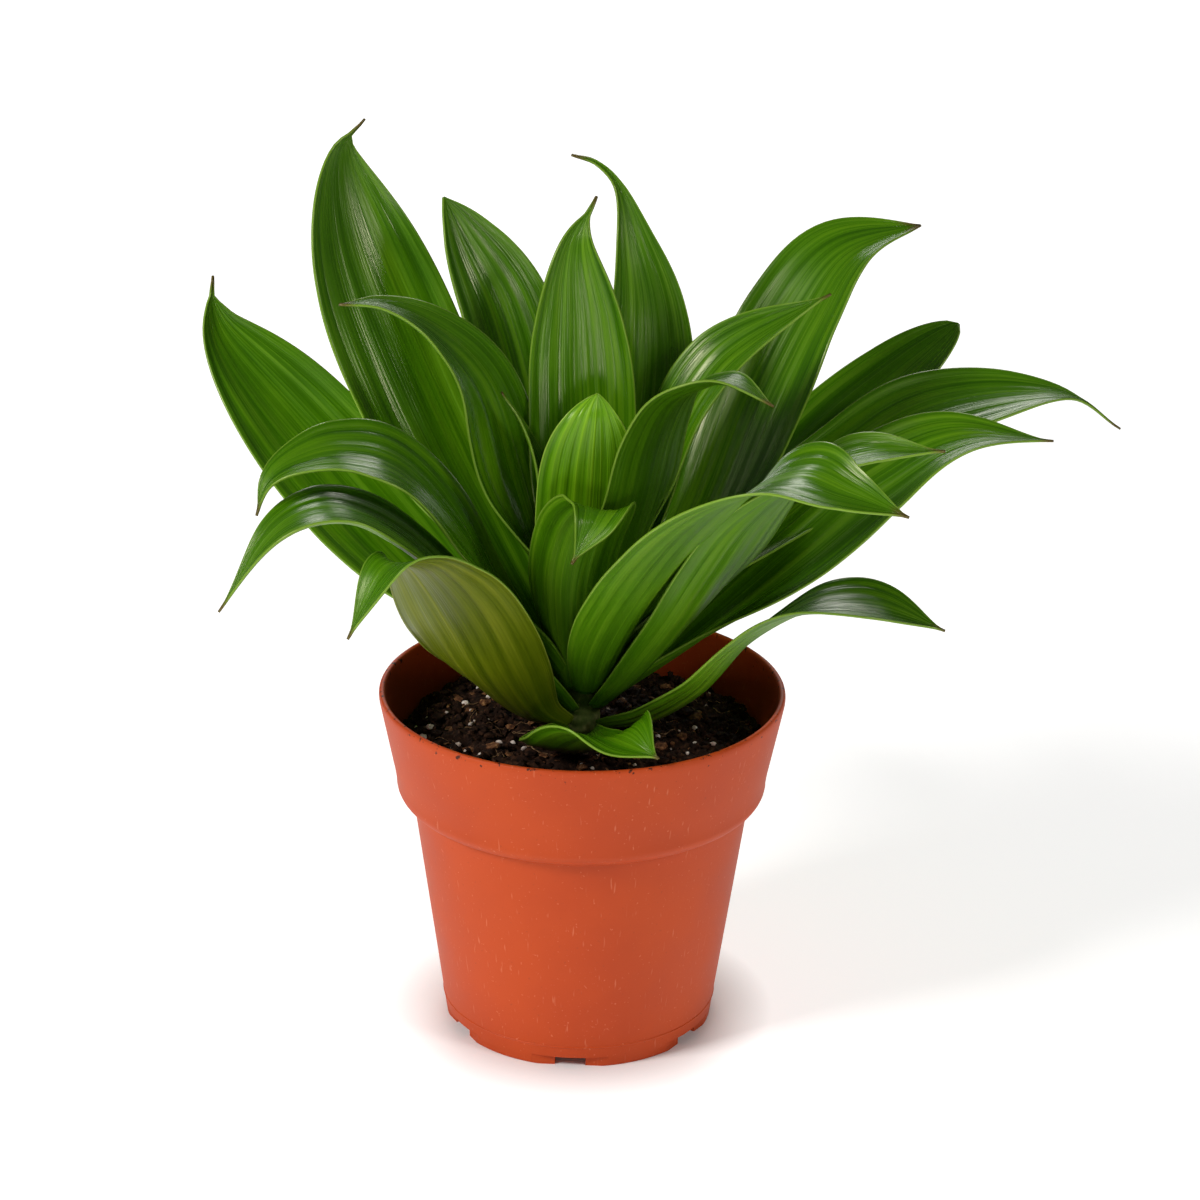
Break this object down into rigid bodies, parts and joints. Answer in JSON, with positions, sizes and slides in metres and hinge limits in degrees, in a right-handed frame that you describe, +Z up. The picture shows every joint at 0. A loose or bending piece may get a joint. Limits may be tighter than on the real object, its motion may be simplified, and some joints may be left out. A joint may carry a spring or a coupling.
{
  "type": "potted dracaena",
  "caption": "Compact dracaena, a rosette of broad strap leaves on a short cane, growing in a round plastic nursery pot with potting mix.",
  "frame": {"origin": "on the surface that the pot stands on, below the middle of the plant's spread", "axes": "+Z up, -Y the plant's front, +X its right side"},
  "size_m": [0.2558, 0.1902, 0.2365],
  "materials": {
    "terracotta_plastic": "matte",
    "potting_mix": "matte",
    "cane": "matte",
    "leaf": "satin",
    "perlite": "matte"
  },
  "bodies": {
    "root": {"nursery_pot": "terracotta_plastic", "potting_mix": "potting_mix", "cane": "cane", "leaf_left_far": "leaf", "leaf_back_left_tall": "leaf", "leaf_back_left_inner": "leaf", "leaf_left_arching_high": "leaf", "leaf_left_small": "leaf", "leaf_centre_upright": "leaf", "leaf_back_twisted": "leaf", "leaf_centre_bright": "leaf", "leaf_centre_right": "leaf", "leaf_right_narrow": "leaf", "leaf_front_folded": "leaf", "leaf_front_right_large": "leaf", "leaf_right_rising": "leaf", "leaf_right_tall": "leaf", "leaf_right_back": "leaf", "leaf_right_far": "leaf", "leaf_right_middle": "leaf", "leaf_right_low": "leaf", "leaf_front_small": "leaf", "leaf_left_arching_middle": "leaf", "leaf_left_arching_low": "leaf", "leaf_front_left": "leaf", "leaf_back_left": "leaf", "leaf_back_low_left": "leaf", "leaf_back_centre": "leaf", "leaf_back_low_right": "leaf", "leaf_back_upright": "leaf", "perlite_left": "perlite", "perlite_left_upper": "perlite", "perlite_front_left": "perlite", "perlite_front_large": "perlite", "perlite_front_small": "perlite", "perlite_right": "perlite"}
  },
  "joints": []
}
